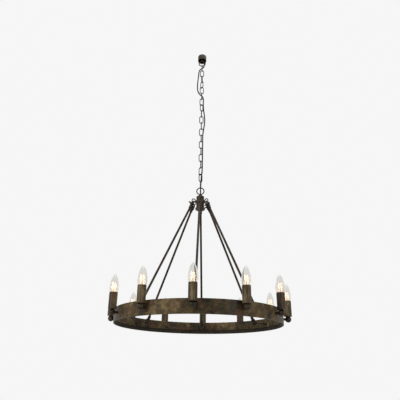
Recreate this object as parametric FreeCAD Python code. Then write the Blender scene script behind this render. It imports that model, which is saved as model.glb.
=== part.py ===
"""Wagon wheel chandelier: a flat rolled rim with twelve candle lamps round it, hung by six rods
from a turned hub, on a chain of twenty oval links with a supply cord woven through it.

Millimetres, +Z up. The origin is on the axis, at the top face of the ceiling collar, and
everything hangs below it. Angles go round from the front (-Y) towards +X.
"""
import FreeCAD, Part
import math
import os

Vector = FreeCAD.Vector

# ---- clearances ----
wire_gap = 0.3            # between two rings or links that hang in each other
cap_gap = 0.1             # round and under a bulb cap in its holder
hole_gap = 0.1            # radial, round a bolt or stem in a plain hole; a threaded one has none
ear_gap = 0.25            # each side of a ring between a clevis's ears

# ---- ceiling fitting ----
stem_radius = 5.0         # M10 stem above the collar
stem_above_collar = 14.0
stem_end_radius = 4.0     # below the shoulder, down into the loop's neck
stem_in_neck = 14.0
collar_radius = 22.0
collar_height = 30.0
collar_wall = 2.0
collar_edge = 2.5         # bevel round the roof
collar_recess_radius = 6.0  # in the roof, round the foot of the stem
collar_recess_depth = 1.0
loop_neck_radius = 6.5
loop_neck_length = 27.5
gland_radius = 4.3
gland_hole_radius = 3.4
gland_height = 4.0
gland_lip = 1.0           # of the gland past the cord, at its mouth

# ---- loops, chain ----
loop_radius = 16.5        # to the middle of the wire
loop_wire_radius = 2.5
link_count = 20
link_wire_radius = 2.0
link_inner_length = 35.9
link_outer_width = 21.0
# Planes of the links from the top, in degrees from X: most stand square to their neighbours,
# and the ones that hang slack stand in between.
link_planes = (90, 0, 80, 135, 10, 90, -8, 45, 98, 0, 90, 0, 90, 0, 90, 0, 90, -25, 40, 98)

# ---- supply cord, along the middle of the cord ----
cord_radius = 3.0
cord_arc_share = 0.45     # of the shorter run beside a bend
cord_route = [
    (9.5, 10.5, -6.0), (9.5, 10.5, -28.0), (12.0, 10.0, -51.0), (7.0, 5.5, -68.5),
    (0.0, 0.0, -78.5), (-9.5, -3.0, -88.0), (-16.0, -4.5, -102.0), (-18.0, 0.0, -130.0),
    (-22.0, 0.5, -170.0), (-23.0, 0.0, -210.0), (-18.0, -0.5, -232.0), (-9.0, 0.5, -245.5),
    (0.5, -0.5, -255.5), (7.0, -5.0, -266.5), (9.5, -10.5, -283.0), (8.5, -9.5, -309.0),
    (10.5, -7.5, -344.0), (14.5, -4.0, -372.0), (17.0, 0.5, -398.0), (14.5, 5.0, -428.0),
    (10.5, 8.5, -452.0), (7.5, 8.5, -475.0), (7.0, 7.5, -502.0), (7.0, 8.0, -545.0),
    (7.0, 7.5, -592.0), (6.5, 9.5, -636.0), (7.0, 10.5, -662.0), (4.5, 12.5, -690.0),
    (2.0, 14.5, -717.0), (0.5, 16.5, -745.5), (0.0, 15.0, -774.0),
]
cord_tail_route = [(0.0, 15.0, -774.0), (-0.2, 14.4, -785.4), (0.0, 12.6, -798.0), (0.0, 12.6, -810.0)]

# ---- hub, heights down from one piece to the next ----
shank_radius = 4.0        # the hub loop's threaded shank
hub_radius = 18.0
hub_wall = 5.0
hub_shoulder_radius = 6.5 # of the loop, on the neck
hub_neck_radius = 8.0
hub_neck_height = 9.3
hub_cap_thickness = 6.0
hub_body_height = 50.0
hub_flange_radius = 22.0
hub_flange_thickness = 8.0
hub_edge = 0.8            # turned edge break
dome_nut_radius = 9.0
dome_nut_height = 12.0
shank_in_nut = 7.0
eye_below_body_top = 19.0
hub_gland_offset = 12.6   # the cord enters this far behind the axis

# ---- rods and their fittings ----
rod_count = 6
rod_radius = 4.75
rod_socket_depth = 9.0
eye_radius = 8.25         # to the middle of the wire
eye_wire_radius = 2.25
joining_ring_radius = 10.0     # rings that join the rods to the hub eyes, of the same wire
hub_eye_radius_out = 33.0 # from the axis to the middle of a hub eye
wheel_eye_radius_out = 269.6
clevis_bolt_radius = 3.0
clevis_ear_radius = 7.5
clevis_ear_thickness = 3.0
clevis_bridge = 5.0
clevis_socket_radius = 6.5
clevis_length = 26.0      # from the bolt to the socket's mouth
bolt_head_radius = 5.5
bolt_head_height = 4.0
nut_height = 5.0
bolt_stub = 7.5
# Which way each rod's upper bolt is put in, from the front rod round: 1 with its nut outwards, -1 inwards.
upper_bolt_sides = (-1, -1, -1, 1, 1, 1)
eye_shank_radius = 3.0

# ---- wheel ----
hub_loop_above_wheel = 544.3   # from the rim's top edge to the middle of the hub loop
rim_radius = 340.0
rim_height = 52.0
rim_thickness = 4.5
hoop_height = 35.5
hoop_thickness = 3.0
hoop_below_top = 0.5

# ---- lamps ----
lamp_count = 12
ball_radius = 12.5
ball_from_rim = 8.5
ball_below_top = 25.0     # the ball's middle below the rim's top edge
ball_seat_height = 10.5   # flat on top of the ball, above its middle
spacer_radius = 5.0
lamp_bolt_radius = 3.0
lamp_bolt_depth = 8.0     # into the ball
nipple_radius = 5.0
nipple_bore_radius = 3.5
nipple_in_ball = 6.0
nipple_in_holder = 8.0
seat_thickness = 1.0
sleeve_radius = 15.75
sleeve_wall = 1.0
sleeve_height = 61.2
sleeve_rim_edge = 0.4
holder_foot_radius = 9.0
holder_foot_height = 21.5
holder_radius = 12.5
holder_height = 48.5
cap_radius = 6.95         # E14 cap
cap_length = 21.5
cap_button_radius = 3.0
cap_button_height = 1.5
cap_skirt_radius = 8.5
cap_skirt_height = 2.5
glass_wall = 0.9
glass_neck_radius = 8.2
# The bulb's outline above the cap skirt: height, radius. The tip is on the axis.
bulb_outline = [(4.0, 11.2), (9.7, 14.2), (18.0, 16.8), (28.7, 17.5), (45.0, 15.7), (63.0, 11.4), (74.0, 6.2)]
bulb_tip_height = 79.2

# ---- places that follow from the sizes ----
ceiling_loop_z = -(collar_wall + loop_neck_length + loop_radius)
swing_z = ceiling_loop_z - loop_radius
loop_to_link = loop_wire_radius + link_wire_radius + wire_gap
link_half = link_inner_length / 2 + link_wire_radius
link_bend = link_outer_width / 2 - link_wire_radius
link_pitch = 2 * link_half - 2 * link_wire_radius - wire_gap
first_link_z = swing_z + loop_to_link - link_half
tilt_z = first_link_z - (link_count - 1) * link_pitch - link_half
hub_loop_z = tilt_z + loop_to_link - loop_radius
neck_top_z = hub_loop_z - loop_radius - loop_wire_radius
cap_top_z = neck_top_z - hub_neck_height
body_top_z = cap_top_z - hub_cap_thickness
body_bottom_z = body_top_z - hub_body_height
flange_bottom_z = body_bottom_z - hub_flange_thickness
shank_end_z = flange_bottom_z - shank_in_nut
hub_eye_z = body_top_z - eye_below_body_top
wheel_z = hub_loop_z - hub_loop_above_wheel
ball_z = wheel_z - ball_below_top
wheel_eye_z = ball_z
lamp_radius_out = rim_radius + ball_from_rim + ball_radius
rim_inner_radius = rim_radius - rim_thickness
hoop_inner_radius = rim_inner_radius - hoop_thickness
hoop_seat_radius = math.sqrt(hoop_inner_radius ** 2 - bolt_head_radius ** 2)
seat_z = ball_z + ball_seat_height
holder_z = seat_z + seat_thickness
cap_z = holder_z + holder_height + cap_gap - cap_length
skirt_top_z = cap_z + cap_length + cap_skirt_height
ear_half_gap = eye_wire_radius + ear_gap
ear_outer = ear_half_gap + clevis_ear_thickness
bolt_from_eye = eye_radius - eye_wire_radius - clevis_bolt_radius
joining_ring_from_eye = eye_radius - 2 * eye_wire_radius + joining_ring_radius
upper_bolt_from_eye = joining_ring_from_eye + joining_ring_radius - eye_wire_radius - clevis_bolt_radius
hub_eye = (hub_eye_radius_out, hub_eye_z)
wheel_eye = (wheel_eye_radius_out, wheel_eye_z)
rod_run = math.hypot(wheel_eye[0] - hub_eye[0], wheel_eye[1] - hub_eye[1])
rod_out = (wheel_eye[0] - hub_eye[0]) / rod_run
rod_down = (hub_eye[1] - wheel_eye[1]) / rod_run


# ---- helpers ----
def around(index, count):
    """Angle of one of count equal places round the axis, from the front."""
    return 2 * math.pi * index / count


def outward(angle):
    return Vector(math.sin(angle), -math.cos(angle), 0)


def across(angle):
    return Vector(math.cos(angle), math.sin(angle), 0)


def at(angle, radius, z):
    """A point at this angle, distance from the axis and height."""
    return outward(angle) * radius + Vector(0, 0, z)


def rod_axis(angle):
    """Unit vector down along a rod."""
    return outward(angle) * rod_out - Vector(0, 0, rod_down)


def frame_of(x_axis, z_axis, origin):
    """Placement that puts a piece's own X and Z along these directions, at this point."""
    y_axis = z_axis.cross(x_axis)
    rotation = FreeCAD.Rotation(x_axis, y_axis, z_axis, "ZXY")
    return FreeCAD.Placement(origin, rotation)


def placed(shape, placement):
    copy = shape.copy()
    copy.Placement = placement.multiply(copy.Placement)
    return copy


def cylinder(radius, start, end):
    """Cylinder from one point to another."""
    axis = end - start
    return Part.makeCylinder(radius, axis.Length, start, axis)


def turned(outline, x=0.0, y=0.0):
    """Solid of revolution about a vertical axis from (radius, height) corners."""
    corners = [Vector(r, 0, z) for r, z in outline]
    face = Part.Face(Part.makePolygon(corners + [corners[0]]))
    solid = face.revolve(Vector(0, 0, 0), Vector(0, 0, 1), 360)
    solid.translate(Vector(x, y, 0))
    return solid


def upright_ring(radius, wire_radius, centre, normal):
    """Wire ring round centre, square to normal."""
    return Part.makeTorus(radius, wire_radius, centre, normal)


def hexagon(radius, height, bore):
    """Hexagonal nut from z = 0 up, with its hole."""
    flats = [Vector(radius * math.cos(math.pi * i / 3), radius * math.sin(math.pi * i / 3), 0)
             for i in range(6)]
    nut = Part.Face(Part.makePolygon(flats + [flats[0]])).extrude(Vector(0, 0, height))
    return nut.cut(Part.makeCylinder(bore, height))


def save(name, shapes):
    """Writes one node: one solid, or a group of separate ones."""
    shape = shapes if isinstance(shapes, Part.Shape) else Part.makeCompound(shapes)
    shape.exportStep("parts/%s.step" % name)


# ---- ceiling fitting ----
def ceiling_stem():
    end = cylinder(stem_end_radius, Vector(0, 0, -collar_wall - stem_in_neck), Vector(0, 0, 0))
    return end.fuse(cylinder(stem_radius, Vector(0, 0, 0), Vector(0, 0, stem_above_collar)))


def ceiling_gland_place():
    return cord_route[0][0], cord_route[0][1], cord_route[0][2]


def ceiling_collar():
    shell = turned([
        (0, 0), (collar_radius - collar_edge, 0), (collar_radius, -collar_edge),
        (collar_radius, -collar_height), (collar_radius - collar_wall, -collar_height),
        (collar_radius - collar_wall, -collar_edge),
        (collar_radius - collar_edge, -collar_wall), (0, -collar_wall)])
    x, y, _ = ceiling_gland_place()
    shell = shell.cut(cylinder(stem_end_radius + hole_gap, Vector(0, 0, -collar_height), Vector(0, 0, 1)))
    shell = shell.cut(cylinder(collar_recess_radius, Vector(0, 0, -collar_recess_depth), Vector(0, 0, 1)))
    return shell.cut(cylinder(gland_hole_radius, Vector(x, y, -collar_height), Vector(x, y, 1)))


def cord_gland(x, y, face_z, through):
    """Gland on a plate's face: a tapered boss, and a stub through the plate to face_z + through."""
    face = Vector(x, y, face_z)
    away = Vector(0, 0, -math.copysign(1, through))
    boss = Part.makeCone(gland_radius, cord_radius + gland_lip, gland_height, face, away)
    stub = cylinder(gland_hole_radius, face, face + Vector(0, 0, through))
    return boss.fuse(stub).removeSplitter()


def loop_ring(centre_z):
    return upright_ring(loop_radius, loop_wire_radius, Vector(0, 0, centre_z), Vector(0, 1, 0))


def ceiling_loop():
    neck = cylinder(loop_neck_radius, Vector(0, 0, -collar_wall - loop_neck_length), Vector(0, 0, -collar_wall))
    bore = cylinder(stem_end_radius, Vector(0, 0, -collar_wall - stem_in_neck), Vector(0, 0, 0))
    return neck.cut(bore).fuse(loop_ring(ceiling_loop_z))


# ---- chain ----
def chain_link():
    """One link in the XZ plane round the origin: a round wire swept along a long oval."""
    straight = link_half - link_bend
    top, bottom = Vector(0, 0, straight), Vector(0, 0, -straight)
    side = Vector(link_bend, 0, 0)
    ends = [
        Part.Arc(top + side, top + Vector(0, 0, link_bend), top - side).toShape(),
        Part.Arc(bottom - side, bottom - Vector(0, 0, link_bend), bottom + side).toShape()]
    sides = [Part.makeLine(top - side, bottom - side), Part.makeLine(bottom + side, top + side)]
    path = Part.Wire([ends[0], sides[0], ends[1], sides[1]])
    section = Part.Wire(Part.makeCircle(link_wire_radius, top + side, Vector(0, 0, 1)))
    return path.makePipeShell([section], True, False)


def chain_links():
    link = chain_link()
    links = []
    for index, plane in enumerate(link_planes[:link_count]):
        centre = Vector(0, 0, first_link_z - index * link_pitch)
        links.append(placed(link, FreeCAD.Placement(centre, FreeCAD.Rotation(Vector(0, 0, 1), plane))))
    return links


# ---- supply cord ----
def cord_tube(points, name):
    """Round tube along straight runs joined by tangent arcs."""
    points = [Vector(*p) for p in points]
    edges, radii, here = [], [], points[0]
    for before, corner, after in zip(points, points[1:], points[2:]):
        way_in, way_out = (corner - before).normalize(), (after - corner).normalize()
        half_turn = way_in.getAngle(way_out) / 2
        shorter = min(before.distanceToPoint(corner), corner.distanceToPoint(after))
        tangent = cord_arc_share * shorter
        radius = tangent / math.tan(half_turn)
        start, end = corner - way_in * tangent, corner + way_out * tangent
        inside = (way_out - way_in).normalize()
        middle = corner + inside * (radius / math.cos(half_turn) - radius)
        edges.append(Part.makeLine(here, start))
        edges.append(Part.Arc(start, middle, end).toShape())
        radii.append(radius)
        here = end
    edges.append(Part.makeLine(here, points[-1]))
    path = Part.Wire(edges)
    section = Part.Wire(Part.makeCircle(cord_radius, points[0], points[1] - points[0]))
    tube = path.makePipeShell([section], True, False)
    expected = math.pi * cord_radius ** 2 * path.Length
    print("%s: length %.1f, least radius %.1f, volume %.4f of section times length"
          % (name, path.Length, min(radii), tube.Volume / expected))
    return tube


# ---- hub ----
def hub_loop():
    shoulder = cylinder(hub_shoulder_radius, Vector(0, 0, neck_top_z), Vector(0, 0, hub_loop_z - loop_radius))
    shank = cylinder(shank_radius, Vector(0, 0, shank_end_z), Vector(0, 0, neck_top_z))
    return loop_ring(hub_loop_z).fuse(shoulder).fuse(shank).removeSplitter()


def hub_cap():
    cap = turned([
        (shank_radius + hole_gap, neck_top_z), (hub_neck_radius - hub_edge, neck_top_z),
        (hub_neck_radius, neck_top_z - hub_edge), (hub_neck_radius, cap_top_z),
        (hub_radius - hub_edge, cap_top_z), (hub_radius, cap_top_z - hub_edge),
        (hub_radius, body_top_z), (shank_radius + hole_gap, body_top_z)])
    hole_end = Vector(0, hub_gland_offset, body_top_z - 1)
    return cap.cut(cylinder(gland_hole_radius, hole_end, Vector(0, hub_gland_offset, neck_top_z)))


def hub_body():
    inner = hub_radius - hub_wall
    body = turned([
        (inner, body_top_z), (hub_radius, body_top_z), (hub_radius, body_bottom_z), (inner, body_bottom_z)])
    for index in range(rod_count):
        angle = around(index, rod_count)
        start, end = at(angle, 0, hub_eye_z), at(angle, hub_radius + 1, hub_eye_z)
        body = body.cut(cylinder(eye_shank_radius, start, end))
    return body


def hub_flange():
    bore = shank_radius + hole_gap
    return turned([
        (bore, body_bottom_z), (hub_flange_radius - hub_edge, body_bottom_z),
        (hub_flange_radius, body_bottom_z - hub_edge), (hub_flange_radius, flange_bottom_z + hub_edge),
        (hub_flange_radius - hub_edge, flange_bottom_z), (bore, flange_bottom_z)])


def hub_dome_nut():
    straight = dome_nut_height - dome_nut_radius
    block = cylinder(dome_nut_radius, Vector(0, 0, flange_bottom_z - straight), Vector(0, 0, flange_bottom_z))
    dome = Part.makeSphere(dome_nut_radius, Vector(0, 0, flange_bottom_z - straight), Vector(0, 0, -1), 0, 90)
    bore = cylinder(shank_radius, Vector(0, 0, shank_end_z), Vector(0, 0, flange_bottom_z))
    return block.fuse(dome).cut(bore).removeSplitter()


def eye_bolt(angle, centre, shank_from, shank_to):
    """Upright ring in the plane of its rod, on a level shank between two distances from the axis."""
    ring = upright_ring(eye_radius, eye_wire_radius, at(angle, *centre), across(angle))
    shank = cylinder(eye_shank_radius, at(angle, shank_from, centre[1]), at(angle, shank_to, centre[1]))
    return ring.fuse(shank)


def hub_eye_bolts():
    shank_end = hub_eye[0] - eye_radius
    return [eye_bolt(around(i, rod_count), hub_eye, hub_radius - hub_wall, shank_end) for i in range(rod_count)]


# ---- rods ----
def clevis():
    """Fork in its own frame: bolt axis along X, rod down along -Z."""
    slot_depth = clevis_bolt_radius + 2 * eye_wire_radius + 2 * ear_gap
    bridge_z = -slot_depth - clevis_bridge
    r = clevis_ear_radius
    outline = Part.Wire([
        Part.Arc(Vector(-ear_outer, r, 0), Vector(-ear_outer, 0, r), Vector(-ear_outer, -r, 0)).toShape(),
        Part.makeLine(Vector(-ear_outer, -r, 0), Vector(-ear_outer, -r, bridge_z)),
        Part.makeLine(Vector(-ear_outer, -r, bridge_z), Vector(-ear_outer, r, bridge_z)),
        Part.makeLine(Vector(-ear_outer, r, bridge_z), Vector(-ear_outer, r, 0))])
    fork = Part.Face(outline).extrude(Vector(2 * ear_outer, 0, 0))
    slot = Part.makeBox(2 * ear_half_gap, 4 * r, slot_depth + 2 * r, Vector(-ear_half_gap, -2 * r, -slot_depth))
    hole = cylinder(clevis_bolt_radius + hole_gap, Vector(-2 * ear_outer, 0, 0), Vector(2 * ear_outer, 0, 0))
    socket = cylinder(clevis_socket_radius, Vector(0, 0, bridge_z), Vector(0, 0, -clevis_length))
    bore_top = rod_socket_depth - clevis_length
    bore = cylinder(rod_radius, Vector(0, 0, bore_top), Vector(0, 0, -clevis_length))
    return fork.cut(slot).cut(hole).fuse(socket).cut(bore).removeSplitter()


def joining_ring(angle):
    """Ring that hangs in a hub eye, square to it, and holds a rod's upper bolt."""
    centre = at(angle, *hub_eye) + rod_axis(angle) * joining_ring_from_eye
    return upright_ring(joining_ring_radius, eye_wire_radius, centre, out_of_rod(angle))


def out_of_rod(angle):
    """Outwards and up, square to a rod and in its plane with the axis."""
    return rod_axis(angle).cross(across(angle))


def upper_clevis_frame(angle, side):
    """Where a rod's upper clevis stands, bolt at the origin."""
    axis = rod_axis(angle)
    return frame_of(out_of_rod(angle) * side, axis * -1, at(angle, *hub_eye) + axis * upper_bolt_from_eye)


def lower_clevis_frame(angle):
    axis = rod_axis(angle)
    return frame_of(across(angle) * -1, axis, at(angle, *wheel_eye) - axis * bolt_from_eye)


def clevis_bolt():
    """Bolt along X through the ears, with its stub past the nut."""
    head = cylinder(bolt_head_radius, Vector(-ear_outer - bolt_head_height, 0, 0), Vector(-ear_outer, 0, 0))
    shank = cylinder(clevis_bolt_radius, Vector(-ear_outer, 0, 0),
                     Vector(ear_outer + nut_height + bolt_stub, 0, 0))
    return head.fuse(shank).removeSplitter()


def clevis_nut():
    nut = hexagon(bolt_head_radius, nut_height, clevis_bolt_radius)
    return placed(nut, frame_of(Vector(0, 0, -1), Vector(1, 0, 0), Vector(ear_outer, 0, 0)))


def support_rod(angle):
    axis = rod_axis(angle)
    from_bolt = clevis_length - rod_socket_depth
    top = at(angle, *hub_eye) + axis * (upper_bolt_from_eye + from_bolt)
    return cylinder(rod_radius, top, at(angle, *wheel_eye) - axis * (bolt_from_eye + from_bolt))


# ---- wheel ----
def band(outer, inner, top, bottom, hole_radius):
    """Rolled flat bar with a bolt hole at every lamp."""
    ring = turned([(inner, top), (outer, top), (outer, bottom), (inner, bottom)])
    for index in range(lamp_count):
        angle = around(index, lamp_count)
        start, end = at(angle, inner - 1, ball_z), at(angle, outer + 1, ball_z)
        ring = ring.cut(cylinder(hole_radius, start, end))
    return ring


def wheel_rim():
    return band(rim_radius, rim_inner_radius, wheel_z, wheel_z - rim_height, lamp_bolt_radius + hole_gap)


def inner_hoop():
    top = wheel_z - hoop_below_top
    return band(rim_inner_radius, hoop_inner_radius, top, top - hoop_height, lamp_bolt_radius + hole_gap)


def bolt_end_out():
    return lamp_radius_out - ball_radius + lamp_bolt_depth


def wheel_eye_bolts():
    shank_start = wheel_eye[0] + eye_radius
    return [eye_bolt(around(i, rod_count), wheel_eye, shank_start, bolt_end_out()) for i in range(rod_count)]


def wheel_eye_nuts():
    nut = hexagon(bolt_head_radius, nut_height, eye_shank_radius)
    return [placed(nut, frame_of(across(around(i, rod_count)), outward(around(i, rod_count)),
                                 at(around(i, rod_count), hoop_seat_radius - nut_height, wheel_eye_z)))
            for i in range(rod_count)]


def lamp_bolts():
    """Plain bolts at the lamps that have no rod, heads inside the hoop."""
    bolts = []
    for index in range(1, lamp_count, lamp_count // rod_count):
        angle = around(index, lamp_count)
        head_end = at(angle, hoop_seat_radius, ball_z)
        head = cylinder(bolt_head_radius, at(angle, hoop_seat_radius - bolt_head_height, ball_z), head_end)
        bolts.append(head.fuse(cylinder(lamp_bolt_radius, head_end, at(angle, bolt_end_out(), ball_z))))
    return bolts


# ---- lamps ----
def spacer_end_out():
    """Distance from the axis to the ball's flat, where the spacer meets it."""
    return lamp_radius_out - math.sqrt(ball_radius ** 2 - spacer_radius ** 2)


def lamp_ball(angle):
    centre = at(angle, lamp_radius_out, ball_z)
    ball = Part.makeSphere(ball_radius, centre)
    size = 2 * ball_radius
    top = cylinder(size, centre + Vector(0, 0, ball_seat_height), centre + Vector(0, 0, size))
    inner = cylinder(size, at(angle, rim_radius - size, ball_z), at(angle, spacer_end_out(), ball_z))
    side_hole = cylinder(lamp_bolt_radius, at(angle, rim_radius, ball_z), at(angle, bolt_end_out(), ball_z))
    hole_floor = centre + Vector(0, 0, ball_seat_height - nipple_in_ball)
    top_hole = cylinder(nipple_radius, hole_floor, centre + Vector(0, 0, size))
    return ball.cut(top).cut(inner).cut(side_hole).cut(top_hole)


def lamp_spacer(angle):
    tube = cylinder(spacer_radius, at(angle, rim_radius, ball_z), at(angle, spacer_end_out(), ball_z))
    bore = cylinder(lamp_bolt_radius + hole_gap, at(angle, rim_radius - 1, ball_z),
                    at(angle, lamp_radius_out, ball_z))
    return tube.cut(bore)


def lamp_nipple(x, y):
    low, high = seat_z - nipple_in_ball, holder_z + nipple_in_holder
    return turned([(nipple_bore_radius, low), (nipple_radius, low), (nipple_radius, high),
                   (nipple_bore_radius, high)], x, y)


def sleeve_seat(x, y):
    bore = nipple_radius + hole_gap
    return turned([(bore, seat_z), (sleeve_radius, seat_z), (sleeve_radius, holder_z), (bore, holder_z)], x, y)


def lamp_holder(x, y):
    foot_floor = holder_z + nipple_in_holder
    foot_top = holder_z + holder_foot_height
    cup_floor = cap_z - cap_button_height - cap_gap
    cup_bore = cap_radius + cap_gap
    top = holder_z + holder_height
    return turned([
        (nipple_radius, holder_z), (holder_foot_radius, holder_z), (holder_foot_radius, foot_top),
        (holder_radius, foot_top), (holder_radius, top), (cup_bore, top), (cup_bore, cup_floor),
        (0, cup_floor), (0, foot_floor), (nipple_radius, foot_floor)], x, y)


def candle_sleeve(x, y):
    low, high = holder_z, holder_z + sleeve_height
    inner = sleeve_radius - sleeve_wall
    return turned([
        (inner, low), (sleeve_radius, low), (sleeve_radius, high - sleeve_rim_edge),
        (sleeve_radius - sleeve_rim_edge, high), (inner, high)], x, y)


def bulb_curve(inset):
    """The glass outline from neck to tip as one curve, this far inside the outer face."""
    shares = (bulb_tip_height - inset) / bulb_tip_height
    points = [Vector(glass_neck_radius - inset, 0, skirt_top_z)]
    points += [Vector(r - inset, 0, skirt_top_z + h * shares) for h, r in bulb_outline]
    tip = Vector(0, 0, skirt_top_z + bulb_tip_height - inset)
    curve = Part.BSplineCurve()
    curve.interpolate(points + [tip], FinalTangent=Vector(-1, 0, 0), InitialTangent=Vector(0.6, 0, 0.8))
    return curve.toShape(), points[0], tip


def candle_bulb(x, y):
    outer, outer_neck, outer_tip = bulb_curve(0)
    inner, inner_neck, inner_tip = bulb_curve(glass_wall)
    section = Part.Wire([outer, Part.makeLine(outer_tip, inner_tip), inner, Part.makeLine(inner_neck, outer_neck)])
    glass = Part.Face(section).revolve(Vector(0, 0, 0), Vector(0, 0, 1), 360)
    glass.translate(Vector(x, y, 0))
    skirt_z = cap_z + cap_length
    cap = turned([
        (0, cap_z - cap_button_height), (cap_button_radius, cap_z - cap_button_height),
        (cap_button_radius, cap_z), (cap_radius, cap_z), (cap_radius, skirt_z),
        (cap_skirt_radius, skirt_z), (cap_skirt_radius, skirt_top_z), (0, skirt_top_z)], x, y)
    return [glass, cap]


# ---- the assembly ----
def build():
    os.makedirs("parts", exist_ok=True)

    save("ceiling_stem", ceiling_stem())
    save("ceiling_collar", ceiling_collar())
    save("ceiling_loop", ceiling_loop())
    x, y, _ = ceiling_gland_place()
    save("ceiling_gland", cord_gland(x, y, -collar_wall, collar_wall))

    save("chain_links", chain_links())
    save("supply_cord", cord_tube(cord_route, "supply cord"))

    save("hub_loop", hub_loop())
    save("hub_cap", hub_cap())
    save("hub_body", hub_body())
    save("hub_flange", hub_flange())
    save("hub_dome_nut", hub_dome_nut())
    save("hub_eye_bolts", hub_eye_bolts())
    save("hub_gland", cord_gland(0, hub_gland_offset, cap_top_z, -hub_cap_thickness))
    save("supply_cord_tail", cord_tube(cord_tail_route, "cord tail"))

    rings, upper, lower, bolts, nuts = [], [], [], [], []
    for index in range(rod_count):
        angle = around(index, rod_count)
        upper_frame, lower_frame = upper_clevis_frame(angle, upper_bolt_sides[index]), lower_clevis_frame(angle)
        rings.append(joining_ring(angle))
        upper.append(placed(clevis(), upper_frame))
        lower.append(placed(clevis(), lower_frame))
        bolts += [placed(clevis_bolt(), upper_frame), placed(clevis_bolt(), lower_frame)]
        nuts += [placed(clevis_nut(), upper_frame), placed(clevis_nut(), lower_frame)]
        save("support_rod_%d" % (index + 1), support_rod(angle))
    save("joining_rings", rings)
    save("upper_clevises", upper)
    save("lower_clevises", lower)
    save("clevis_bolts", bolts)
    save("clevis_nuts", nuts)

    save("wheel_rim", wheel_rim())
    save("inner_hoop", inner_hoop())
    save("wheel_eye_bolts", wheel_eye_bolts())
    save("wheel_eye_nuts", wheel_eye_nuts())
    save("lamp_bolts", lamp_bolts())

    balls, spacers, nipples, seats, holders = [], [], [], [], []
    for index in range(lamp_count):
        angle = around(index, lamp_count)
        place = at(angle, lamp_radius_out, 0)
        balls.append(lamp_ball(angle))
        spacers.append(lamp_spacer(angle))
        nipples.append(lamp_nipple(place.x, place.y))
        seats.append(sleeve_seat(place.x, place.y))
        holders.append(lamp_holder(place.x, place.y))
        save("candle_sleeve_%02d" % (index + 1), candle_sleeve(place.x, place.y))
        save("candle_bulb_%02d" % (index + 1), candle_bulb(place.x, place.y))
    save("lamp_balls", balls)
    save("lamp_spacers", spacers)
    save("lamp_nipples", nipples)
    save("sleeve_seats", seats)
    save("lamp_holders", holders)
    print("swing axis z %.2f, tilt axis z %.2f, wheel top z %.2f" % (swing_z, tilt_z, wheel_z))


build()
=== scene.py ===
"""Looks of the wagon wheel chandelier: every visible piece, its material, the studio and the camera.

Metres, in the row frame: the origin is at the top of the ceiling collar, +Z up, -Y the front.
Angles go round from the front towards +X, and lamp 1 stands at the front.
"""
import math
import random

import bmesh
import bpy
from mathutils import Matrix, Vector

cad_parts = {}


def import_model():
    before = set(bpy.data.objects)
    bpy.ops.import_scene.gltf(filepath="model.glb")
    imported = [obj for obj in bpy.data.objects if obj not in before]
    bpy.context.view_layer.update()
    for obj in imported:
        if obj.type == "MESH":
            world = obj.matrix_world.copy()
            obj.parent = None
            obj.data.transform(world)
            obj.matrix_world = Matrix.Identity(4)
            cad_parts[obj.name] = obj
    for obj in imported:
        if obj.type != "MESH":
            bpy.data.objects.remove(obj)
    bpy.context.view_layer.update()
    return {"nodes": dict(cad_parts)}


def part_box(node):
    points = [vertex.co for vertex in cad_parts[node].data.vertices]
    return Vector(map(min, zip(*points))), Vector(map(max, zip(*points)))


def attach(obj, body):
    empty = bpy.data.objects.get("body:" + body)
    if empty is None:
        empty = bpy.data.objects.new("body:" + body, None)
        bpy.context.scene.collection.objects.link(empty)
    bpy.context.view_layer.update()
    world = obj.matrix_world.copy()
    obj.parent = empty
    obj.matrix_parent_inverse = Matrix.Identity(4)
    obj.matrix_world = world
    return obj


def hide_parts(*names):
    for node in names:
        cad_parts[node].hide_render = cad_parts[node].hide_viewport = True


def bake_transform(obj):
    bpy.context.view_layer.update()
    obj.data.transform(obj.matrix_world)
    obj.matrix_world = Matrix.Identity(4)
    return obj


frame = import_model()

MM = 0.001
TURN = 2 * math.pi
LAMPS = 12
RODS = 6


# ---- sizes: what the frame's boxes give ----
def middle(low, high):
    return (low + high) / 2


rim_low, rim_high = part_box("wheel_rim")
hoop_low, hoop_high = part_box("inner_hoop")
sleeve_low, sleeve_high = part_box("candle_sleeve_01")
bulb_low, bulb_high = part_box("candle_bulb_01")
seat_low, seat_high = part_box("sleeve_seats")
ball_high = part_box("lamp_balls")[1]
bolt_low, bolt_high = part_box("lamp_bolts")
cap_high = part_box("hub_cap")[1]
body_low, body_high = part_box("hub_body")
flange_low, flange_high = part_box("hub_flange")
dome_low, dome_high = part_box("hub_dome_nut")
hub_loop_low, hub_loop_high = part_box("hub_loop")
collar_low, collar_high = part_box("ceiling_collar")
stem_low, stem_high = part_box("ceiling_stem")
ceiling_loop_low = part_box("ceiling_loop")[0]
hub_gland_low, hub_gland_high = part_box("hub_gland")
ceiling_gland_low, ceiling_gland_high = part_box("ceiling_gland")

WHEEL_Z = rim_high.z
BALL_Z = middle(bolt_low, bolt_high).z
LAMP_CIRCLE = -middle(sleeve_low, sleeve_high).y

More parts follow.
